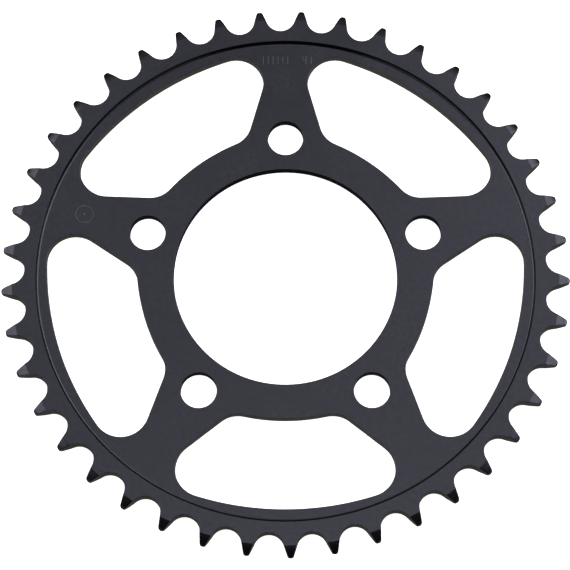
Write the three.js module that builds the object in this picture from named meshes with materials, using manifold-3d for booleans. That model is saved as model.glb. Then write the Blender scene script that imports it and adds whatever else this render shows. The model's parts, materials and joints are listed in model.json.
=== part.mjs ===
// Rear sprocket for a motorcycle: one flat steel plate with 41 teeth for a
// 15.875 mm (5/8 in) pitch chain, a raised tooth ring round a thinner centre,
// five lightening windows, five arms with a bolt hole each, and a large centre bore.
//
// Frame: millimetres, +Z up along the wheel axis. The origin is the centre of the
// back face, which bolts against the hub carrier; the front face looks up.
// The first bolt hole stands on +Y.

import * as THREE from 'three';
import { mergeVertices } from 'three/addons/utils/BufferGeometryUtils.js';
import Module from 'manifold-3d';

// ---- Chain and teeth ------------------------------------------------------
const CHAIN_PITCH = 15.875;        // between roller centres
const ROLLER_DIAMETER = 10.16;
const TOOTH_COUNT = 41;
const SEAT_RADIUS = 5.7;           // hollow that holds the roller
const SEAT_HALF_ANGLE = 68.7;      // degrees of hollow each side of its middle
const TOOTH_ADDENDUM = 3.75;       // tooth tip above the pitch circle
const TIP_CORNER_RADIUS = 1.0;
const TOOTH_WIDTH = 5.8;           // across the plate, fits between the chain's plates
const TIP_WIDTH = 2.0;             // what the side bevels leave at the tip
const BEVEL_BELOW_PITCH = 0.5;     // where the side bevels start, below the pitch circle
const SIDE_RADIUS = 15.9;          // each bevel bulges a little, as an arc this large

// ---- Plate ----------------------------------------------------------------
const SHOULDER_WIDTH = 4.2;        // full-thickness band below the tooth roots
const RECESS_DEPTH = 1.6;          // front of the centre lies this far below the ring
const RECESS_FILLET = 0.9;         // inside corner at the foot of the recess wall
const RECESS_WALL_RUN = 0.35;      // outward lean of the wall above its fillet
const EDGE_BREAK = 0.3;            // chamfer on the bore's edges

// ---- Hub fit --------------------------------------------------------------
const BORE_DIAMETER = 84.5;
const BOLT_COUNT = 5;
const BOLT_CIRCLE_OFFSET = 12.75;  // bore's edge to the bolt circle, 110 mm across
const BOLT_HOLE_DIAMETER = 13.5;
const TOOTH_OVER_HOLE = 3;         // a tooth stands outside this bolt hole, almost in line
const TOOTH_LEAD = 0.2;            // degrees that this tooth is past the hole

// ---- Windows --------------------------------------------------------------
const RIM_WIDTH = 5.0;             // recess edge to a window's outer edge, at its middle
const HUB_RING_WIDTH = 13.2;       // bore to a window's inner edge, at its middle
const ARM_WIDTH = 19.3;            // arm between two windows, halfway out
const ARM_TAPER = 15.9;            // degrees, each side of the arm
const OUTER_FLATTENING = 21;       // outer edge's radius is longer than its distance by this
const INNER_FLATTENING = 18;       // the same for the inner edge
const WINDOW_OUTER_FILLET = 10.6;
const WINDOW_INNER_FILLET = 10;

// ---- Fineness -------------------------------------------------------------
const SEAT_STEPS = 6;
const TIP_CORNER_STEPS = 2;
const SIDE_STEPS = 3;
const RING_STEPS_PER_TOOTH = 3;
const HOLE_STEPS = 36;

// ---- Sizes that follow ----------------------------------------------------
const RAD = Math.PI / 180;
const pitchRadius = CHAIN_PITCH / (2 * Math.sin(Math.PI / TOOTH_COUNT));
const rootRadius = pitchRadius - ROLLER_DIAMETER / 2;
const tipRadius = pitchRadius + TOOTH_ADDENDUM;
const bevelRadius = pitchRadius - BEVEL_BELOW_PITCH;
const recessRadius = rootRadius - SHOULDER_WIDTH;
const boreRadius = BORE_DIAMETER / 2;
const boltCircleRadius = boreRadius + BOLT_CIRCLE_OFFSET;
const windowOuterEdge = recessRadius - RIM_WIDTH;
const windowInnerEdge = boreRadius + HUB_RING_WIDTH;
const filletRoom = (windowOuterEdge - windowInnerEdge) / 3;
const outerFillet = Math.min(WINDOW_OUTER_FILLET, filletRoom);
const innerFillet = Math.min(WINDOW_INNER_FILLET, filletRoom);
const boltAngle = (i) => (90 + (360 / BOLT_COUNT) * i) * RAD;

const polar = (radius, angle, centre = { x: 0, y: 0 }) =>
  new THREE.Vector2(centre.x + radius * Math.cos(angle), centre.y + radius * Math.sin(angle));

function arc(centre, radius, from, to, steps) {
  return Array.from({ length: steps + 1 }, (_, i) =>
    polar(radius, from + ((to - from) * i) / steps, centre));
}

const turned = (points, angle) =>
  points.map((p) => p.clone().rotateAround(new THREE.Vector2(), angle));

// One gap between two teeth, centred on +X: from the middle of the tip below it,
// through the roller's hollow, to the middle of the tip above it.
function toothGap() {
  const half = SEAT_HALF_ANGLE * RAD;
  const seat = { x: rootRadius + SEAT_RADIUS, y: 0 };
  const hollow = arc(seat, SEAT_RADIUS, Math.PI, Math.PI - half, SEAT_STEPS);
  const end = hollow[SEAT_STEPS];
  // The flank leaves the hollow along its tangent and is straight up to the tip's corner.
  const along = new THREE.Vector2(Math.sin(half), Math.cos(half));
  const across = new THREE.Vector2(-along.y, along.x);        // into the tooth
  const start = end.clone().addScaledVector(across, TIP_CORNER_RADIUS);
  const inner = tipRadius - TIP_CORNER_RADIUS;
  const b = start.dot(along);
  const run = -b + Math.sqrt(b * b - start.lengthSq() + inner * inner);
  const corner = start.clone().addScaledVector(along, run);
  const cornerFrom = Math.atan2(-across.y, -across.x);
  let tip = arc(corner, TIP_CORNER_RADIUS, cornerFrom, corner.angle(), TIP_CORNER_STEPS);
  const middle = Math.PI / TOOTH_COUNT;
  tip = tip.filter((p) => p.angle() < middle - 1e-4);
  const upper = [...hollow, ...tip];
  const lower = upper.slice(1).reverse().map((p) => new THREE.Vector2(p.x, -p.y));
  return [...lower, ...upper];
}

function toothOutline() {
  const gap = toothGap();
  const pitchAngle = (2 * Math.PI) / TOOTH_COUNT;
  const first = boltAngle(TOOTH_OVER_HOLE) + TOOTH_LEAD * RAD + pitchAngle / 2;
  return Array.from({ length: TOOTH_COUNT }, (_, k) => turned(gap, first + k * pitchAngle)).flat();
}

// One window, centred on +Y: a flat-arched outer edge, two straight flanks along the
// arms and a gently bulging inner edge, with a fillet in each of the four corners.
function windowOutline() {
  const armAngle = (90 - 180 / BOLT_COUNT) * RAD;
  const armDirection = polar(1, armAngle);
  const toWindow = new THREE.Vector2(-armDirection.y, armDirection.x);
  const halfway = (windowOuterEdge + windowInnerEdge) / 2;
  const onFlank = armDirection.clone().multiplyScalar(halfway)
    .addScaledVector(toWindow, ARM_WIDTH / 2);
  const flankAngle = armAngle - ARM_TAPER * RAD;
  const flank = polar(1, flankAngle);
  const inward = new THREE.Vector2(-flank.y, flank.x);

  // A fillet's centre lies its radius inside the flank and at a set distance from the
  // centre of the edge that it meets.
  const filletCentre = (radius, edgeCentre, distance) => {
    const base = onFlank.clone().addScaledVector(inward, radius);
    const from = base.clone().sub(edgeCentre);
    const b = from.dot(flank);
    const run = -b + Math.sqrt(b * b - from.lengthSq() + distance * distance);
    return base.addScaledVector(flank, run);
  };
  const outerCurve = windowOuterEdge + OUTER_FLATTENING;
  const innerCurve = windowInnerEdge + INNER_FLATTENING;
  const outerCentre = new THREE.Vector2(0, -OUTER_FLATTENING);
  const innerCentre = new THREE.Vector2(0, -INNER_FLATTENING);
  const outer = filletCentre(outerFillet, outerCentre, outerCurve - outerFillet);
  const inner = filletCentre(innerFillet, innerCentre, innerCurve + innerFillet);

  const outwardOuter = outer.clone().sub(outerCentre).angle();
  const outwardInner = inner.clone().sub(innerCentre).angle();
  const towardFlank = flankAngle - Math.PI / 2;
  const right = [
    ...arc(innerCentre, innerCurve, Math.PI / 2, outwardInner, 3),
    ...arc(inner, innerFillet, outwardInner - Math.PI, towardFlank, 6),
    ...arc(outer, outerFillet, towardFlank, outwardOuter, 12),
    ...arc(outerCentre, outerCurve, outwardOuter, Math.PI / 2, 6),
  ];
  // Drop the point that two touching arcs share, then mirror for the left half.
  const half = right.filter((p, i) => i === 0 || p.distanceTo(right[i - 1]) > 1e-3);
  const left = half.slice(1, -1).reverse().map((p) => new THREE.Vector2(-p.x, p.y));
  return [...half, ...left];
}

// The blank as it comes off the lathe: bevelled at the rim on both sides, recessed on
// the front and bored through. Points are radius and height.
function turnedProfile() {
  const centreHeight = TOOTH_WIDTH - RECESS_DEPTH;
  const rise = (TOOTH_WIDTH - TIP_WIDTH) / 2;
  const run = tipRadius - bevelRadius;
  const tilt = Math.atan2(rise, run);
  const bend = Math.asin(Math.hypot(run, rise) / 2 / SIDE_RADIUS);
  const sideCentre = {
    x: bevelRadius - SIDE_RADIUS * Math.sin(tilt - bend),
    y: SIDE_RADIUS * Math.cos(tilt - bend),
  };
  const fromDown = -Math.PI / 2 + tilt;
  const back = arc(sideCentre, SIDE_RADIUS, fromDown - bend, fromDown + bend, SIDE_STEPS);
  // The blank is a little larger than the teeth, whose tips the tooth pattern cuts.
  back.push(new THREE.Vector2(tipRadius + 0.5, rise + 0.5 * Math.tan(tilt + bend)));
  const front = back.map((p) => new THREE.Vector2(p.x, TOOTH_WIDTH - p.y)).reverse();
  const footRadius = recessRadius - RECESS_WALL_RUN - RECESS_FILLET;
  const foot = { x: footRadius, y: centreHeight + RECESS_FILLET };
  return [
    new THREE.Vector2(boreRadius + EDGE_BREAK, 0),
    ...back,
    ...front,
    new THREE.Vector2(recessRadius, TOOTH_WIDTH),
    ...arc(foot, RECESS_FILLET, 0, -Math.PI / 2, 3),
    new THREE.Vector2(boreRadius + EDGE_BREAK, centreHeight),
    new THREE.Vector2(boreRadius, centreHeight - EDGE_BREAK),
    new THREE.Vector2(boreRadius, EDGE_BREAK),
    new THREE.Vector2(boreRadius + EDGE_BREAK, 0),
  ];
}

const wasm = await Module();
wasm.setup();

function toSolid(geometry) {
  geometry.deleteAttribute('normal');
  geometry.deleteAttribute('uv');
  const merged = mergeVertices(geometry, 1e-5);
  return new wasm.Manifold(new wasm.Mesh({
    numProp: 3,
    vertProperties: new Float32Array(merged.attributes.position.array),
    triVerts: new Uint32Array(merged.index.array),
  }));
}

function toGeometry(solid) {
  const mesh = solid.getMesh();
  const geometry = new THREE.BufferGeometry();
  geometry.setAttribute('position', new THREE.BufferAttribute(mesh.vertProperties, 3));
  geometry.setIndex(new THREE.BufferAttribute(mesh.triVerts, 1));
  const flat = geometry.toNonIndexed();
  flat.computeVertexNormals();
  return flat;
}

// The flat pattern with its windows and bolt holes, taller than the blank at both faces.
function cutPattern() {
  const shape = new THREE.Shape(toothOutline());
  const window = windowOutline();
  const circle = arc({ x: 0, y: 0 }, BOLT_HOLE_DIAMETER / 2, 0, 2 * Math.PI, HOLE_STEPS).slice(1);
  for (let i = 0; i < BOLT_COUNT; i += 1) {
    const betweenBolts = boltAngle(i) + Math.PI / BOLT_COUNT - Math.PI / 2;
    shape.holes.push(new THREE.Path(turned(window, betweenBolts)));
    const at = polar(boltCircleRadius, boltAngle(i));
    shape.holes.push(new THREE.Path(circle.map((p) => p.clone().add(at))));
  }
  const geometry = new THREE.ExtrudeGeometry(shape, {
    depth: TOOTH_WIDTH + 2, steps: 1, bevelEnabled: false, curveSegments: 1,
  });
  return geometry.translate(0, 0, -1);
}

function turnedBlank() {
  const geometry = new THREE.LatheGeometry(turnedProfile(), TOOTH_COUNT * RING_STEPS_PER_TOOTH);
  // LatheGeometry turns about Y; the wheel's axis is Z.
  return geometry.rotateX(Math.PI / 2);
}

const plate = toSolid(turnedBlank()).intersect(toSolid(cutPattern()));

const blackCoatedSteel = new THREE.MeshStandardMaterial({
  color: 0x1d1c21, roughness: 0.42, metalness: 0.35,
});

const sprocket = new THREE.Mesh(toGeometry(plate), blackCoatedSteel);
sprocket.name = 'sprocket_plate';

const part = new THREE.Group();
part.add(sprocket);

export default part;
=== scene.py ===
import json
import math

import bpy
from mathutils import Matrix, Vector

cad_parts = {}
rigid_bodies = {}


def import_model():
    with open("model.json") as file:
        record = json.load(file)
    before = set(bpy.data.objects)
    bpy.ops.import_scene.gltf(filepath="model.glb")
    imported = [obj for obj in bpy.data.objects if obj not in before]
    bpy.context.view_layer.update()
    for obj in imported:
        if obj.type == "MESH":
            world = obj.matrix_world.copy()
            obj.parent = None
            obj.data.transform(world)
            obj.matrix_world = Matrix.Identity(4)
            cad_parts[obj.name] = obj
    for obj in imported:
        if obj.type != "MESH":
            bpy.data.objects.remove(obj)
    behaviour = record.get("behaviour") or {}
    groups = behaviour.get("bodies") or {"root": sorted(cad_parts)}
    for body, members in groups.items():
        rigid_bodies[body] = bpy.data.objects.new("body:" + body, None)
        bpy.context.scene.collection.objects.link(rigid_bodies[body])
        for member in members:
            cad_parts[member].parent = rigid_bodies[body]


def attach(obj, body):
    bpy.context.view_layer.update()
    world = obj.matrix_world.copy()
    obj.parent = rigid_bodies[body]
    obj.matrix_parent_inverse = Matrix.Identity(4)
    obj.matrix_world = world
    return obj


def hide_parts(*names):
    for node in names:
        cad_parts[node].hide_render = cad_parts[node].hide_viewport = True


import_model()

MM = 0.001
scene = bpy.context.scene
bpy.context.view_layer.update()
scene.view_settings.view_transform = "Standard"

# ---------------------------------------------------------------------------
# Camera
# A long lens almost a metre above the sprocket, looking down at it from the
# side where the wheel's lower teeth are, so that the plate is seen 16 degrees
# off its axis.
bpy.ops.object.select_all(action="DESELECT")
bpy.ops.object.camera_add(
    location=(4.201 * MM, -258.919 * MM, 886.657 * MM),
    rotation=(math.radians(16.1295), math.radians(0.2737), math.radians(0.0307)),
)
camera = bpy.context.object
camera.name = "camera"
camera.data.lens = 153.79
camera.data.sensor_width = 36
scene.camera = camera

# ---------------------------------------------------------------------------
# Floor
# A backlit sheet of opal acrylic, as on a product table: it is so bright that
# it takes no shadow, and the coating doesn't mirror it.
TABLE_WIDTH = 12
bpy.ops.object.select_all(action="DESELECT")
bpy.ops.mesh.primitive_plane_add(size=TABLE_WIDTH, location=(0, 0, -0.4 * MM))
bpy.ops.object.transform_apply(location=True, rotation=True, scale=True)
floor = bpy.context.object
floor.name = "light_table"
floor.visible_glossy = False


def srgb(code):
    """A hex colour, as three linear values and an alpha of 1."""
    parts = [int(code[i:i + 2], 16) / 255 for i in (1, 3, 5)]
    linear = [c / 12.92 if c <= 0.04045 else ((c + 0.055) / 1.055) ** 2.4 for c in parts]
    return (*linear, 1)


def add_node(material, kind, inputs=(), **settings):
    """Adds one node. A pair in inputs is a socket and its value, or the output it is fed from."""
    node = material.node_tree.nodes.new(kind)
    for name, value in settings.items():
        setattr(node, name, value)
    for socket, value in dict(inputs).items():
        if isinstance(value, bpy.types.NodeSocket):
            material.node_tree.links.new(value, node.inputs[socket])
        else:
            node.inputs[socket].default_value = value
    return node


# Opal acrylic, lit from below: plain, even and white, with no gloss.
opal_acrylic = bpy.data.materials.new("opal_acrylic_backlit")
opal_acrylic.use_nodes = True
opal_acrylic.node_tree.nodes.clear()
opal_face = add_node(opal_acrylic, "ShaderNodeBsdfPrincipled", {
    "Base Color": srgb("#e8e8e8"),
    "Roughness": 0.9,
    "Emission Color": srgb("#ffffff"),
    "Emission Strength": 1.05,
})
add_node(opal_acrylic, "ShaderNodeOutputMaterial", {"Surface": opal_face.outputs["BSDF"]})
floor.data.materials.append(opal_acrylic)

# ---------------------------------------------------------------------------
# Lights
# Softboxes over and behind the sprocket, two broad ones at its sides, which the
# sloping sides of the teeth mirror, and low ones for the foot of the recess.
# Little stands high on the camera's side, so the lower teeth stay dark.
world = bpy.data.worlds.new("studio")
world.use_nodes = True
world.node_tree.nodes["Background"].inputs["Color"].default_value = (1, 1, 1, 1)
world.node_tree.nodes["Background"].inputs["Strength"].default_value = 0.03
scene.world = world

softboxes = {
    # name: (degrees round from +X, degrees up, metres away, width, height, brightness)
    "overhead": (0, 90, 3.0, 0.9, 0.9, 1.9),
    "overhead_front": (270, 68, 3.0, 0.9, 0.7, 0.35),
    "overhead_back_right": (60, 70, 3.0, 0.9, 0.9, 1.12),
    "overhead_back_left": (120, 70, 3.0, 0.9, 0.9, 0.8),
    "high_right": (8, 61, 3.0, 0.8, 0.8, 4.0),
    "high_left": (172, 61, 3.0, 0.8, 0.8, 3.6),
    "high_back": (90, 48, 3.0, 1.6, 0.9, 0.5),
    "back_right": (58, 50, 2.5, 1.0, 1.0, 3.2),
    "back_left": (122, 50, 2.5, 1.0, 1.0, 1.1),
    "side_right": (18, 40, 2.5, 2.6, 1.3, 2.5),
    "side_left": (162, 40, 2.5, 2.6, 1.3, 2.3),
    "back": (90, 25, 2.5, 2.6, 1.3, 0.3),
    "low_right": (14, 17, 3.0, 1.6, 0.5, 6.5),
    "low_left": (166, 17, 3.0, 1.6, 0.5, 5.0),
    "low_front_right": (318, 13, 3.0, 2.4, 0.8, 1.6),
    "low_front_left": (222, 13, 3.0, 2.4, 0.8, 1.6),
}
for name, (round_by, up_by, away, width, height, brightness) in softboxes.items():
    level = math.cos(math.radians(up_by))
    towards = Vector((
        level * math.cos(math.radians(round_by)),
        level * math.sin(math.radians(round_by)),
        math.sin(math.radians(up_by)),
    ))
    bpy.ops.object.light_add(type="AREA", location=towards * away)
    softbox = bpy.context.object
    softbox.name = "softbox_" + name
    softbox.rotation_euler = towards.to_track_quat("Z", "Y").to_euler()
    softbox.data.shape = "RECTANGLE"
    softbox.data.size = width
    softbox.data.size_y = height
    softbox.data.energy = brightness * math.pi * width * height

# ---------------------------------------------------------------------------
# Rear sprocket
# One plate of medium-carbon steel, turned on a lathe, cut out by laser, drilled,
# tumbled, plated black and marked. Five bolts hold it to the wheel's hub carrier.
# All its sizes are in millimetres and degrees.

# The blank is bored, faced, cut back on the front inside the toothed ring, and
# bevelled on both sides of the rim where the teeth will be.
TOOTH_COUNT = 41
CHAIN_PITCH = 15.875
ROLLER_DIAMETER = 10.16
TOOTH_ADDENDUM = 3.75
BEVEL_BELOW_PITCH = 0.5
SHOULDER_WIDTH = 4.2
BORE_RADIUS = 84.5 / 2
BORE_EDGE_BREAK = 0.3
RING_THICKNESS = 5.8
CENTRE_THICKNESS = 4.2
TIP_WIDTH = 2.0
TOOTH_SIDE_RADIUS = 15.9
TOOTH_SIDE_STEPS = 4
FOOT_RADIUS = 0.9
RECESS_WALL_RUN = 0.35
RECESS_EDGE_BREAK = 0.05
RIM_SIDES = TOOTH_COUNT * 16

PITCH_RADIUS = CHAIN_PITCH / (2 * math.sin(math.pi / TOOTH_COUNT))
ROOT_RADIUS = PITCH_RADIUS - ROLLER_DIAMETER / 2
TIP_RADIUS = PITCH_RADIUS + TOOTH_ADDENDUM
BEVEL_RADIUS = PITCH_RADIUS - BEVEL_BELOW_PITCH
RECESS_RADIUS = ROOT_RADIUS - SHOULDER_WIDTH

# Each tooth side is an arc from the bevel line out to the tip, tilted 16 to 32 degrees.
bevel_rise = (RING_THICKNESS - TIP_WIDTH) / 2
bevel_chord = math.hypot(TIP_RADIUS - BEVEL_RADIUS, bevel_rise)
chord_tilt = math.atan2(bevel_rise, TIP_RADIUS - BEVEL_RADIUS)
half_bend = math.asin(bevel_chord / 2 / TOOTH_SIDE_RADIUS)
first_tilt = chord_tilt - half_bend
tooth_side = []
for step in range(TOOTH_SIDE_STEPS + 1):
    tilt = first_tilt + 2 * half_bend * step / TOOTH_SIDE_STEPS
    tooth_side.append((
        BEVEL_RADIUS + TOOTH_SIDE_RADIUS * (math.sin(tilt) - math.sin(first_tilt)),
        TOOTH_SIDE_RADIUS * (math.cos(first_tilt) - math.cos(tilt)),
    ))
foot_centre = (RECESS_RADIUS - RECESS_WALL_RUN - FOOT_RADIUS, CENTRE_THICKNESS + FOOT_RADIUS)
foot = [
    (
        foot_centre[0] + FOOT_RADIUS * math.cos(math.radians(turn)),
        foot_centre[1] + FOOT_RADIUS * math.sin(math.radians(turn)),
    )
    for turn in range(0, -91, -15)
]
# The recess wall's upper edge is only just broken, so it stays a crisp line.
wall_height = RING_THICKNESS - foot_centre[1]
wall_lean = math.atan2(RECESS_WALL_RUN, wall_height)
wall_top = (
    RECESS_RADIUS - RECESS_EDGE_BREAK * math.sin(wall_lean),
    RING_THICKNESS - RECESS_EDGE_BREAK * math.cos(wall_lean),
)
turned_section = [
    (BORE_RADIUS + BORE_EDGE_BREAK, 0),
    *tooth_side,
    *[(radius, RING_THICKNESS - drop) for radius, drop in reversed(tooth_side)],
    (RECESS_RADIUS + RECESS_EDGE_BREAK, RING_THICKNESS),
    wall_top,
    *foot,
    (BORE_RADIUS + BORE_EDGE_BREAK, CENTRE_THICKNESS),
    (BORE_RADIUS, CENTRE_THICKNESS - BORE_EDGE_BREAK),
    (BORE_RADIUS, BORE_EDGE_BREAK),
    (BORE_RADIUS + BORE_EDGE_BREAK, 0),
]

bpy.ops.object.select_all(action="DESELECT")
bpy.ops.mesh.primitive_circle_add(
    vertices=RIM_SIDES, radius=turned_section[0][0] * MM, fill_type="NOTHING", location=(0, 0, 0)
)
sprocket = bpy.context.object
sprocket.name = "rear_sprocket"
black_zinc = bpy.data.materials.new("black_passivated_zinc_plate")
sprocket.data.materials.append(black_zinc)
bpy.ops.object.mode_set(mode="EDIT")
bpy.ops.mesh.select_all(action="SELECT")
for (radius, height), (next_radius, next_height) in zip(turned_section, turned_section[1:]):
    growth = next_radius / radius
    bpy.ops.mesh.extrude_region_move(
        TRANSFORM_OT_translate={"value": (0, 0, (next_height - height) * MM)}
    )
    bpy.ops.transform.resize(value=(growth, growth, 1), center_override=(0, 0, 0))
bpy.ops.mesh.select_all(action="SELECT")
bpy.ops.mesh.remove_doubles(threshold=0.001 * MM)
bpy.ops.mesh.dissolve_limited(angle_limit=math.radians(0.03))
bpy.ops.mesh.normals_make_consistent(inside=False)
bpy.ops.object.mode_set(mode="OBJECT")

# Tooth gaps: the 41 roller hollows are laser-cut, with their straight flanks and the small
# rounds at the tips. One cutter is drawn, repeated round the rim and taken out of the
# blank. The laser leaves a dull wall, which the coating doesn't hide. One tooth stands
# a fifth of a degree past the bolt hole at 306 degrees.
SEAT_RADIUS = 5.7
SEAT_HALF_ANGLE = 68.7
TIP_CORNER_RADIUS = 1.0
CLEAR_OF_TIPS = 2
CUTTER_HEIGHT = 12
CUTTER_FOOT = -3
BOLT_HOLE_BELOW_TOOTH = 306
TOOTH_LEAD = 0.2

# The cut walls' faint olive colour is a painted reflection of a beige surface below the plate.
dull_zinc_painted_olive_reflection = bpy.data.materials.new("zinc_plate_on_laser_cut_wall")


def start_outline(x, y):
    """One point, from which half of a cutter's outline is drawn."""
    bpy.ops.object.select_all(action="DESELECT")
    bpy.ops.mesh.primitive_plane_add(size=MM, location=(0, 0, 0))
    bpy.ops.object.mode_set(mode="EDIT")
    bpy.ops.mesh.merge(type="CENTER")
    bpy.ops.transform.translate(value=(x * MM, y * MM, CUTTER_FOOT * MM))


def swing(centre, degrees, steps):
    """Draws an arc on from the last point, counterclockwise where degrees are above 0."""
    bpy.ops.mesh.spin(
        steps=steps, angle=-math.radians(degrees),
        center=(centre[0] * MM, centre[1] * MM, 0), axis=(0, 0, 1),
    )


def close_cutter(mirror):
    """Mirrors the half outline, fills it and gives the cutter its height."""
    bpy.ops.mesh.select_all(action="SELECT")
    bpy.ops.mesh.duplicate()
    bpy.ops.transform.resize(value=mirror, center_override=(0, 0, 0))
    bpy.ops.mesh.select_all(action="SELECT")
    bpy.ops.mesh.remove_doubles(threshold=0.002 * MM)
    bpy.ops.mesh.edge_face_add()
    bpy.ops.mesh.extrude_region_move(
        TRANSFORM_OT_translate={"value": (0, 0, CUTTER_HEIGHT * MM)}
    )
    bpy.ops.mesh.select_all(action="SELECT")
    bpy.ops.mesh.normals_make_consistent(inside=False)
    bpy.ops.object.mode_set(mode="OBJECT")
    return bpy.context.object


def cut_away(cutter, wall, first, count):
    """Repeats the cutter evenly round the axis and takes all of it out of the sprocket."""
    cutter.data.materials.append(wall)
    bpy.ops.object.mode_set(mode="EDIT")
    bpy.ops.mesh.select_all(action="SELECT")
    bpy.ops.transform.rotate(
        value=-math.radians(first), orient_axis="Z", center_override=(0, 0, 0)
    )
    for _ in range(count - 1):
        bpy.ops.mesh.duplicate()
        bpy.ops.transform.rotate(
            value=-math.radians(360 / count), orient_axis="Z", center_override=(0, 0, 0)
        )
    bpy.ops.object.mode_set(mode="OBJECT")
    bpy.context.view_layer.objects.active = sprocket
    cut = sprocket.modifiers.new("cut", "BOOLEAN")
    cut.operation = "DIFFERENCE"
    cut.solver = "EXACT"
    cut.material_mode = "TRANSFER"
    cut.object = cutter
    bpy.ops.object.modifier_apply(modifier="cut")
    bpy.data.objects.remove(cutter)


def towards_angle(degrees):
    """A length of 1 in the plane, at an angle from +X."""
    return Vector((math.cos(math.radians(degrees)), math.sin(math.radians(degrees))))


def angle_of(run):
    """The angle from +X of a run in the plane."""
    return math.degrees(math.atan2(run.y, run.x))


def tangent_round(on_line, along, inward, radius, centre, distance):
    """Centre of a round that touches a straight line and lies a set distance from a centre."""
    base = on_line + inward * radius
    start = base - centre
    step = start.dot(along)
    return base + along * (math.sqrt(step ** 2 - start.length_squared + distance ** 2) - step)


# The straight flank leaves the hollow along its tangent, up to the round at the tip.
seat_centre = Vector((ROOT_RADIUS + SEAT_RADIUS, 0))
into_tooth = towards_angle(180 - SEAT_HALF_ANGLE)
seat_end = seat_centre + into_tooth * SEAT_RADIUS
up_flank = towards_angle(90 - SEAT_HALF_ANGLE)
tip_corner = tangent_round(
    seat_end, up_flank, into_tooth, TIP_CORNER_RADIUS,
    Vector((0, 0)), TIP_RADIUS - TIP_CORNER_RADIUS,
)
flank_run = tip_corner - into_tooth * TIP_CORNER_RADIUS - seat_end

start_outline(ROOT_RADIUS, 0)
swing(seat_centre, -SEAT_HALF_ANGLE, 14)
bpy.ops.mesh.extrude_region_move(TRANSFORM_OT_translate={"value": (flank_run * MM).to_3d()})
swing(tip_corner, SEAT_HALF_ANGLE + angle_of(tip_corner), 6)
bpy.ops.mesh.extrude_region_move(TRANSFORM_OT_translate={"value": (CLEAR_OF_TIPS * MM, 0, 0)})
gap_cutter = close_cutter((1, -1, 1))
first_gap = BOLT_HOLE_BELOW_TOOTH + TOOTH_LEAD + 180 / TOOTH_COUNT
cut_away(gap_cutter, dull_zinc_painted_olive_reflection, first_gap, TOOTH_COUNT)

# Windows: five are laser-cut through the plate between the arms, each with a
# flat-arched outer edge, a bulging inner edge and a round in each corner.
BOLT_COUNT = 5
RIM_WIDTH = 5.0
HUB_RING_WIDTH = 13.2
ARM_WIDTH = 19.3
ARM_TAPER = 15.9
OUTER_FLATTENING = 21
INNER_FLATTENING = 18
OUTER_FILLET = 10.6
INNER_FILLET = 10

outer_edge = RECESS_RADIUS - RIM_WIDTH
inner_edge = BORE_RADIUS + HUB_RING_WIDTH
arm_angle = 90 - 180 / BOLT_COUNT
on_flank = (
    towards_angle(arm_angle) * (outer_edge + inner_edge) / 2
    + towards_angle(arm_angle + 90) * ARM_WIDTH / 2
)
flank_angle = arm_angle - ARM_TAPER
along_flank = towards_angle(flank_angle)
into_window = towards_angle(flank_angle + 90)
outer_centre = Vector((0, -OUTER_FLATTENING))
inner_centre = Vector((0, -INNER_FLATTENING))
outer_round = tangent_round(
    on_flank, along_flank, into_window, OUTER_FILLET,
    outer_centre, outer_edge + OUTER_FLATTENING - OUTER_FILLET,
)
inner_round = tangent_round(
    on_flank, along_flank, into_window, INNER_FILLET,
    inner_centre, inner_edge + INNER_FLATTENING + INNER_FILLET,
)
outer_meets = angle_of(outer_round - outer_centre)
inner_meets = angle_of(inner_round - inner_centre)
flank_meets = flank_angle - 90

start_outline(0, inner_edge)
swing(inner_centre, inner_meets - 90, 8)
swing(inner_round, flank_meets - (inner_meets - 180), 12)
# The straight flank runs from one round to the other, tangent to both.
between_rounds = outer_round - inner_round - into_window * (OUTER_FILLET - INNER_FILLET)
bpy.ops.mesh.extrude_region_move(
    TRANSFORM_OT_translate={"value": (between_rounds * MM).to_3d()}
)
swing(outer_round, outer_meets - flank_meets, 22)
swing(outer_centre, 90 - outer_meets, 14)
window_cutter = close_cutter((-1, 1, 1))
cut_away(window_cutter, dull_zinc_painted_olive_reflection, 180 / BOLT_COUNT, BOLT_COUNT)

# Bolt holes: five, drilled and reamed for the studs of the hub carrier.
BOLT_CIRCLE_RADIUS = 110 / 2
BOLT_HOLE_RADIUS = 13.5 / 2

bpy.ops.object.select_all(action="DESELECT")
bpy.ops.mesh.primitive_cylinder_add(
    vertices=72, radius=BOLT_HOLE_RADIUS * MM, depth=CUTTER_HEIGHT * MM,
    location=(0, BOLT_CIRCLE_RADIUS * MM, (CUTTER_FOOT + CUTTER_HEIGHT / 2) * MM),
)
bpy.ops.object.transform_apply(location=True, rotation=True, scale=True)
cut_away(bpy.context.object, black_zinc, 0, BOLT_COUNT)

# Edges: a tumbler takes the sharpness off every cut edge before coating. The turned
# lines, where the tooth bevels start, stay crisp.
EDGE_ROUND = 0.2
bpy.ops.object.select_all(action="DESELECT")
sprocket.select_set(True)
bpy.context.view_layer.objects.active = sprocket
bpy.ops.object.mode_set(mode="EDIT")
bpy.ops.mesh.select_all(action="SELECT")
bpy.ops.mesh.dissolve_limited(angle_limit=math.radians(0.05))
bpy.ops.mesh.remove_doubles(threshold=0.002 * MM)
bpy.ops.mesh.normals_make_consistent(inside=False)
bpy.ops.object.mode_set(mode="OBJECT")
rounds = sprocket.modifiers.new("edge_rounds", "BEVEL")
rounds.width = EDGE_ROUND * MM
rounds.segments = 2
rounds.limit_method = "ANGLE"
rounds.angle_limit = math.radians(50)
rounds.use_clamp_overlap = False
rounds.loop_slide = False
bpy.ops.object.modifier_apply(modifier="edge_rounds")
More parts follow.
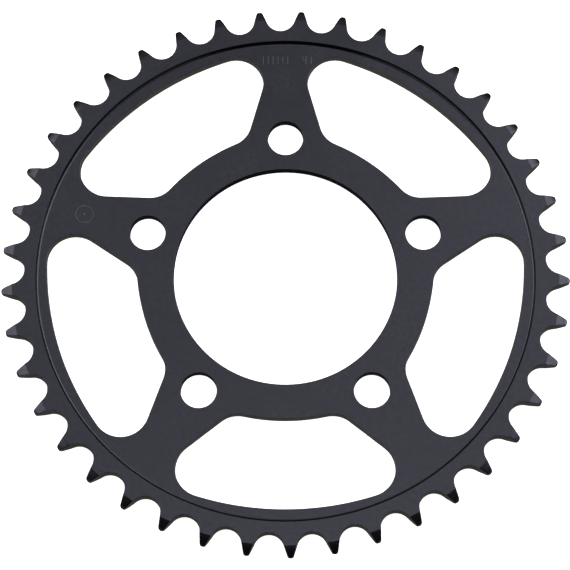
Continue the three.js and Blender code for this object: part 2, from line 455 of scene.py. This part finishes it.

# Marks: a laser burns them a few hundredths of a millimetre into the coating. Their paler colour
# is a painted highlight, standing in for the glints off the walls of the strokes. The top arm has
# a row of plain strokes and the tooth count, and the left arm a plain ring round a dot.
MARK_DEPTH = 0.04
MARK_FLOOR = CENTRE_THICKNESS - MARK_DEPTH
MARK_LINE = 0.3
MARK_HEIGHT = 3.2
MARK_Y = 87.0
STROKES = [
    # (centre x, centre y, width, height), first of the plain row and then of 4 and 1
    *[(-8.6 + 1.9 * place, MARK_Y, MARK_LINE, MARK_HEIGHT) for place in range(6)],
    (6.75, MARK_Y + 0.96, MARK_LINE, 1.28),
    (7.95, MARK_Y + 0.96, MARK_LINE, 1.28),
    (7.55, MARK_Y + 0.1, 1.9, MARK_LINE),
    (7.95, MARK_Y - 0.86, MARK_LINE, 1.48),
    (10.0, MARK_Y, MARK_LINE, MARK_HEIGHT),
]
RING_MARK_CENTRE = (-76.5, 24.5)
RING_MARK_RADIUS = 3.5
RING_MARK_DOT = 0.45

mark_zinc_painted_highlight = bpy.data.materials.new("mark_plate_painted_highlight")

bpy.ops.object.select_all(action="DESELECT")
bpy.ops.mesh.primitive_cylinder_add(
    vertices=24, radius=RING_MARK_DOT * MM, depth=MM,
    location=(RING_MARK_CENTRE[0] * MM, RING_MARK_CENTRE[1] * MM, (MARK_FLOOR + 0.5) * MM),
)
bpy.ops.object.transform_apply(location=True, rotation=True, scale=True)
marks = bpy.context.object
bpy.ops.object.mode_set(mode="EDIT")
for x, y, width, height in STROKES:
    bpy.ops.mesh.primitive_cube_add(
        size=1, location=(x * MM, y * MM, (MARK_FLOOR + 0.5) * MM),
        scale=(width * MM, height * MM, MM),
    )
bpy.ops.mesh.primitive_circle_add(
    vertices=64, radius=RING_MARK_RADIUS * MM, fill_type="NOTHING",
    location=(RING_MARK_CENTRE[0] * MM, RING_MARK_CENTRE[1] * MM, MARK_FLOOR * MM),
)
bpy.ops.mesh.extrude_region_move()
inside = 1 - MARK_LINE / RING_MARK_RADIUS
bpy.ops.transform.resize(
    value=(inside, inside, 1),
    center_override=(RING_MARK_CENTRE[0] * MM, RING_MARK_CENTRE[1] * MM, 0),
)
bpy.ops.mesh.select_linked()
bpy.ops.mesh.extrude_region_move(TRANSFORM_OT_translate={"value": (0, 0, MM)})
bpy.ops.mesh.select_all(action="SELECT")
bpy.ops.mesh.normals_make_consistent(inside=False)
bpy.ops.object.mode_set(mode="OBJECT")
marks.data.materials.append(mark_zinc_painted_highlight)

bpy.context.view_layer.objects.active = sprocket
engraving = sprocket.modifiers.new("engraving", "BOOLEAN")
engraving.operation = "DIFFERENCE"
engraving.solver = "EXACT"
engraving.material_mode = "TRANSFER"
engraving.object = marks
bpy.ops.object.modifier_apply(modifier="engraving")
bpy.data.objects.remove(marks)

# Shading: the turned lines where the tooth bevels start stay crisp. Every other round
# shades smoothly, and the flat faces stay flat up to their edges.
bpy.ops.object.select_all(action="DESELECT")
sprocket.select_set(True)
bpy.context.view_layer.objects.active = sprocket
bpy.ops.object.mode_set(mode="EDIT")
bpy.ops.mesh.select_mode(type="EDGE")
bpy.ops.mesh.select_all(action="DESELECT")
bpy.ops.object.mode_set(mode="OBJECT")
corners = sprocket.data.vertices
for edge in sprocket.data.edges:
    edge.select = all(
        abs(corners[i].co.xy.length - BEVEL_RADIUS * MM) < 0.01 * MM for i in edge.vertices
    )
bpy.ops.object.mode_set(mode="EDIT")
bpy.ops.mesh.mark_sharp()
bpy.ops.object.mode_set(mode="OBJECT")
bpy.ops.object.shade_smooth_by_angle(angle=math.radians(50), keep_sharp_edges=True)
even = sprocket.modifiers.new("flat_faces_stay_flat", "WEIGHTED_NORMAL")
even.keep_sharp = True
bpy.ops.object.modifier_apply(modifier="flat_faces_stay_flat")

# Coating: black-passivated zinc plate, a thin, hard, satin layer with a cool violet cast.
# Its crystals give the flats a faint mottle, its gloss varies a little from place to
# place, and a few grains of dust lie in it.
MOTTLE_SIZE = 1.5 * MM
HAZE_SIZE = 16 * MM
GRAIN_SIZE = 0.5 * MM
DUST_SPACING = 19 * MM
DUST_RADIUS = 0.2 * MM


def plated_steel(finish, metal, darker, lighter, glossy, matt):
    """Gives a finish its mottled colour, hazy gloss and fine grain."""
    finish.use_nodes = True
    finish.node_tree.nodes.clear()
    place = add_node(finish, "ShaderNodeTexCoord").outputs["Object"]
    mottle = add_node(finish, "ShaderNodeTexNoise", {
        "Vector": place, "Scale": 1 / MOTTLE_SIZE, "Detail": 4, "Roughness": 0.65,
    })
    mottle_spread = add_node(finish, "ShaderNodeMapRange", {
        "Value": mottle.outputs["Fac"], "From Min": 0.3, "From Max": 0.7,
    })
    # In a colour Mix node, sockets 6 and 7 are its two colours and output 2 is the mix.
    tone = add_node(finish, "ShaderNodeMix", {
        "Factor": mottle_spread.outputs["Result"], 6: srgb(darker), 7: srgb(lighter),
    }, data_type="RGBA")
    dust = add_node(finish, "ShaderNodeTexVoronoi", {
        "Vector": place, "Scale": 1 / DUST_SPACING, "Randomness": 1,
    })
    dust_spot = add_node(finish, "ShaderNodeMapRange", {
        "Value": dust.outputs["Distance"],
        "From Min": DUST_RADIUS / DUST_SPACING, "From Max": 0.4 * DUST_RADIUS / DUST_SPACING,
        "To Min": 0, "To Max": 0.7,
    })
    dusty_tone = add_node(finish, "ShaderNodeMix", {
        "Factor": dust_spot.outputs["Result"], 6: tone.outputs[2], 7: srgb("#8f8a84"),
    }, data_type="RGBA")
    haze = add_node(finish, "ShaderNodeTexNoise", {
        "Vector": place, "Scale": 1 / HAZE_SIZE, "Detail": 2,
    })
    gloss = add_node(finish, "ShaderNodeMapRange", {
        "Value": haze.outputs["Fac"], "From Min": 0.3, "From Max": 0.7,
        "To Min": glossy, "To Max": matt,
    })
    grain = add_node(finish, "ShaderNodeTexNoise", {
        "Vector": place, "Scale": 1 / GRAIN_SIZE, "Detail": 3,
    })
    grain_bump = add_node(finish, "ShaderNodeBump", {
        "Height": grain.outputs["Fac"], "Strength": 0.35, "Distance": 0.004 * MM,
    })
    surface = add_node(finish, "ShaderNodeBsdfPrincipled", {
        "Base Color": dusty_tone.outputs[2],
        "Metallic": metal,
        "Roughness": gloss.outputs["Result"],
        "Normal": grain_bump.outputs["Normal"],
    })
    add_node(finish, "ShaderNodeOutputMaterial", {"Surface": surface.outputs["BSDF"]})


plated_steel(black_zinc, 1.0, "#38383f", "#404048", 0.24, 0.28)
# On the laser-cut walls the plate is rough, so it looks dull; their faint olive colour is a
# painted reflection of a beige surface below the plate.
plated_steel(dull_zinc_painted_olive_reflection, 0.0, "#343329", "#3d3c33", 0.6, 0.7)
# The strokes are paler, a painted highlight for the glints off their walls, and more matt than
# the coating round them.
plated_steel(mark_zinc_painted_highlight, 1.0, "#4b4953", "#57545f", 0.36, 0.44)

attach(sprocket, "root")
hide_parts("sprocket_plate")
